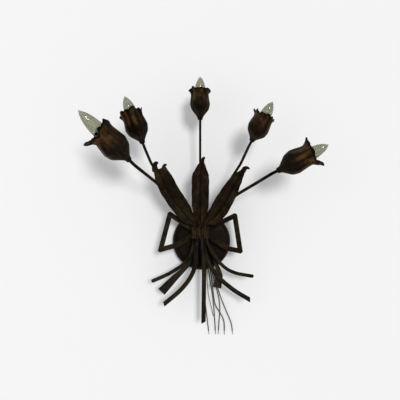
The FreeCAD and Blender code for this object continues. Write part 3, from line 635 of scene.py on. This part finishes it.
# --- loose supply leads: the same points as the model's, in metres ---------------------------
LEADS = {
    "lead_a": [(-0.0020, -0.0100, -0.0012), (-0.0020, -0.0074, -0.0013),
               (-0.0018, -0.0054, -0.0034), (-0.0010, -0.0050, -0.0085),
               (0.0015, -0.0046, -0.0180), (0.0045, -0.0032, -0.0340),
               (0.0076, -0.0019, -0.0520), (0.0086, -0.0019, -0.0680),
               (0.0084, -0.0030, -0.0920), (0.0076, -0.0036, -0.1200),
               (0.0096, -0.0034, -0.1500), (0.0130, -0.0036, -0.1770),
               (0.0160, -0.0036, -0.2010)],
    "lead_ground": [(0.0, -0.0100, -0.0023), (0.0, -0.0073, -0.0024),
                    (0.0004, -0.0052, -0.0046), (0.0016, -0.0048, -0.0095),
                    (0.0044, -0.0044, -0.0190), (0.0082, -0.0032, -0.0350),
                    (0.0110, -0.0018, -0.0520), (0.0122, -0.0019, -0.0690),
                    (0.0130, -0.0030, -0.0930), (0.0154, -0.0046, -0.1210),
                    (0.0200, -0.0056, -0.1400), (0.0244, -0.0062, -0.1560),
                    (0.0266, -0.0064, -0.1680)],
    "lead_b": [(0.0020, -0.0100, -0.0012), (0.0020, -0.0074, -0.0013),
               (0.0025, -0.0054, -0.0035), (0.0042, -0.0050, -0.0088),
               (0.0068, -0.0046, -0.0180), (0.0108, -0.0033, -0.0340),
               (0.0144, -0.0018, -0.0520), (0.0160, -0.0019, -0.0690),
               (0.0195, -0.0030, -0.0920), (0.0245, -0.0034, -0.1200),
               (0.0276, -0.0032, -0.1470), (0.0294, -0.0030, -0.1740),
               (0.0310, -0.0030, -0.2010)],
    "lead_c": [(-0.0020, -0.0100, 0.0012), (-0.0020, -0.0058, 0.0011),
               (-0.0018, -0.0029, -0.0020), (0.0010, -0.0022, -0.0095),
               (0.0084, -0.0020, -0.0210), (0.0146, -0.0019, -0.0370),
               (0.0176, -0.0018, -0.0520), (0.0200, -0.0022, -0.0690),
               (0.0235, -0.0044, -0.0920), (0.0265, -0.0064, -0.1180),
               (0.0300, -0.0070, -0.1430), (0.0390, -0.0068, -0.1560),
               (0.0490, -0.0062, -0.1730), (0.0514, -0.0056, -0.1880),
               (0.0512, -0.0054, -0.2010)],
    "lead_d": [(0.0, -0.0100, 0.0023), (0.0, -0.0056, 0.0022),
               (0.0008, -0.0028, -0.0012), (0.0046, -0.0022, -0.0086),
               (0.0116, -0.0020, -0.0200), (0.0174, -0.0019, -0.0360),
               (0.0209, -0.0018, -0.0520), (0.0236, -0.0022, -0.0690),
               (0.0282, -0.0026, -0.0880), (0.0335, -0.0026, -0.1070),
               (0.0386, -0.0024, -0.1260), (0.0414, -0.0022, -0.1460),
               (0.0404, -0.0022, -0.1660), (0.0388, -0.0024, -0.1840),
               (0.0380, -0.0026, -0.2010)],
    "lead_e": [(0.0020, -0.0100, 0.0012), (0.0023, -0.0058, 0.0012),
               (0.0050, -0.0029, 0.0002), (0.0110, -0.0022, -0.0055),
               (0.0180, -0.0020, -0.0180), (0.0220, -0.0019, -0.0350),
               (0.0244, -0.0018, -0.0520), (0.0270, -0.0022, -0.0690),
               (0.0316, -0.0028, -0.0880), (0.0368, -0.0032, -0.1070),
               (0.0430, -0.0034, -0.1270), (0.0530, -0.0034, -0.1520),
               (0.0630, -0.0034, -0.1750), (0.0676, -0.0036, -0.1880),
               (0.0690, -0.0038, -0.2010)],
}
LEAD_DIAMETER = 0.0020
GROUND_DIAMETER = 0.0012


def build_lead(name):
    points = LEADS[name]
    diameter = GROUND_DIAMETER if name == "lead_ground" else LEAD_DIAMETER
    curve = bpy.data.curves.new("wire_" + name, "CURVE")
    curve.dimensions = "3D"
    spline = curve.splines.new("NURBS")
    spline.points.add(len(points) - 1)
    for control, point in zip(spline.points, points):
        control.co = (*point, 1.0)
    spline.order_u = 3
    spline.use_endpoint_u = True
    curve.resolution_u = 10
    curve.bevel_depth = diameter / 2
    curve.bevel_resolution = 5
    curve.use_fill_caps = True
    wire = bpy.data.objects.new("wire_" + name, curve)
    bpy.context.scene.collection.objects.link(wire)
    slot = "copper" if name == "lead_ground" else "lead_cover"
    dress(wire, slot)
    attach(wire, "root")
    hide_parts(name)


# --- stage, light and camera -------------------------------------------------------------------
def wall_material():
    """Near-white paint that light and camera pass through from behind."""
    m = Nodes("wall_paint")
    m.colour(m.mix(m.noise(3.0, 3.0), (0.900, 0.900, 0.900), (0.892, 0.892, 0.894)))
    m.set(Roughness=0.95, Specular_IOR_Level=0.0)
    clear = m.add("ShaderNodeBsdfTransparent")
    geometry = m.add("ShaderNodeNewGeometry")
    mix = m.add("ShaderNodeMixShader")
    m.link(geometry.outputs["Backfacing"], mix.inputs[0])
    m.link(m.shader.outputs[0], mix.inputs[1])
    m.link(clear.outputs[0], mix.inputs[2])
    m.link(mix.outputs[0], m.tree.nodes["Material Output"].inputs["Surface"])
    return m.material


WALL_REACH = 3.0             # metres from the wall's middle to each edge
WALL_Y = 0.0004              # a hair behind the mounting feet, which end at 0


def build_stage():
    mesh = bpy.data.meshes.new("wall")
    reach, y = WALL_REACH, WALL_Y
    mesh.from_pydata([(-reach, y, -reach), (reach, y, -reach), (reach, y, reach),
                      (-reach, y, reach)], [], [(0, 1, 2, 3)])
    wall = bpy.data.objects.new("wall", mesh)
    bpy.context.scene.collection.objects.link(wall)
    mesh.materials.append(wall_material())


# The key light falls from the front, a little from above and the right; a weak fill stands
# at the left, and the room adds its own even light.
KEY_DIRECTION = (-0.22, 1.0, -0.20)
KEY_STRENGTH = 1.50
KEY_ANGLE = math.radians(13.0)   # how soft the shadows are
KEY_PLACE = (0.0, -1.5, 0.5)
FILL_PLACE = (-0.9, -1.5, 0.25)
FILL_TARGET = (0.0, -0.05, 0.08)
FILL_SIZE = 0.9
FILL_POWER = 1.2
ROOM_COLOUR = (0.985, 0.99, 1.0, 1.0)
ROOM_STRENGTH = 0.55


def place_light(data, place, direction):
    lamp = bpy.data.objects.new(data.name, data)
    lamp.location = place
    lamp.rotation_euler = Vector(direction).to_track_quat("-Z", "Y").to_euler()
    bpy.context.scene.collection.objects.link(lamp)


def build_light():
    world = bpy.data.worlds.new("room")
    world.use_nodes = True
    background = world.node_tree.nodes["Background"]
    background.inputs["Color"].default_value = ROOM_COLOUR
    background.inputs["Strength"].default_value = ROOM_STRENGTH
    bpy.context.scene.world = world
    key = bpy.data.lights.new("key", "SUN")
    key.energy = KEY_STRENGTH
    key.angle = KEY_ANGLE
    key.color = (1.0, 0.99, 0.98)
    place_light(key, KEY_PLACE, KEY_DIRECTION)
    fill = bpy.data.lights.new("fill", "AREA")
    fill.shape = "RECTANGLE"
    fill.size = fill.size_y = FILL_SIZE
    fill.energy = FILL_POWER
    place_light(fill, FILL_PLACE, Vector(FILL_TARGET) - Vector(FILL_PLACE))


def build_camera():
    data = bpy.data.cameras.new("camera")
    data.sensor_width = SENSOR
    data.lens = SENSOR * CAMERA_DISTANCE / VIEW_WIDTH
    camera = bpy.data.objects.new("camera", data)
    camera.location = (CAMERA_X, -CAMERA_DISTANCE, CAMERA_Z)
    camera.rotation_euler = (math.pi / 2, 0, 0)
    bpy.context.scene.collection.objects.link(camera)
    bpy.context.scene.camera = camera


def main():
    scene = bpy.context.scene
    scene.view_settings.view_transform = "Standard"
    dress_frame()
    for name in LEADS:
        build_lead(name)
    for name in FLOWERS:
        build_cup(name)
    for name in LEAVES:
        build_leaf(name)
    build_band()
    build_stage()
    build_light()
    build_camera()
    bpy.context.view_layer.update()


main()
